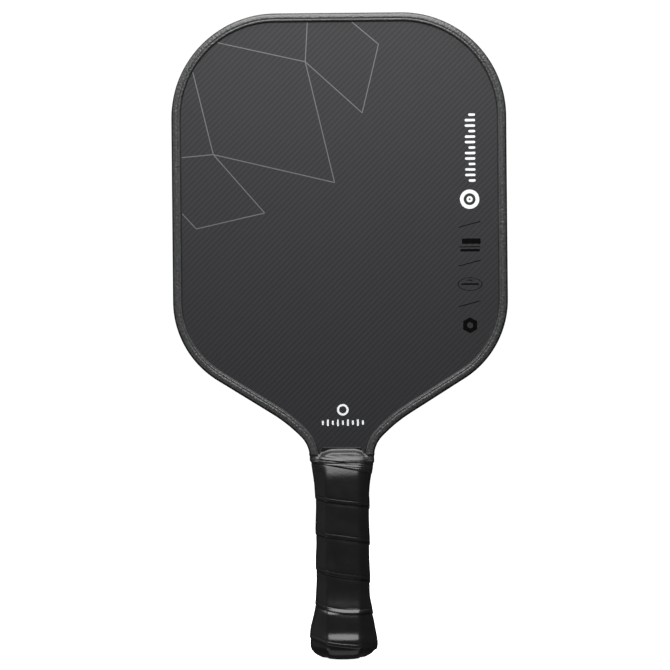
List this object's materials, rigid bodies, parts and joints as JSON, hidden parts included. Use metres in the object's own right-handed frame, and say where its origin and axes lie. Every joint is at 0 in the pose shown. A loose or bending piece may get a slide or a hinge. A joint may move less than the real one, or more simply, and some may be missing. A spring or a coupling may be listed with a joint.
{
  "type": "pickleball paddle",
  "caption": "Pickleball paddle: rounded honeycomb board with woven carbon faces, a plastic edge guard and a wound eight-sided grip.",
  "frame": {"origin": "On the handle's axis, in the middle of the hand's hold, 62 mm above the butt end.", "axes": "+Z along the handle to the head's tip, X across the head, -Y out of the front face."},
  "size_m": [0.208, 0.0372, 0.401],
  "materials": {
    "honeycomb": "translucent white polypropylene cells",
    "foam": "closed-cell foam",
    "adhesive_tape": "double-sided tape",
    "edge_guard": "fine-grained moulded plastic",
    "scrim": "thin nonwoven veil",
    "inner_ply": "unidirectional carbon and resin",
    "carbon_face": "satin woven carbon and resin, twill",
    "handle_pallet": "rigid moulded foam",
    "butt_cap": "moulded plastic",
    "butt_label": "domed sticker, blank",
    "staple": "bright wire",
    "grip_backing": "felt backing",
    "grip_skin": "tacky polyurethane skin",
    "finishing_tape": "glossy stretched tape"
  },
  "bodies": {
    "root": {"honeycomb_core": "honeycomb", "edge_foam": "foam", "edge_tape": "adhesive_tape", "edge_guard": "edge_guard", "front_scrim": "scrim", "back_scrim": "scrim", "front_inner_ply": "inner_ply", "back_inner_ply": "inner_ply", "front_outer_ply": "carbon_face", "back_outer_ply": "carbon_face", "front_handle_pallet": "handle_pallet", "back_handle_pallet": "handle_pallet", "front_cap_staple": "staple", "back_cap_staple": "staple", "butt_cap": "butt_cap", "butt_label": "butt_label", "grip_staple": "staple", "handle_tape": "adhesive_tape", "grip_backing": "grip_backing", "grip_skin": "grip_skin", "finishing_tape": "finishing_tape"}
  },
  "joints": []
}
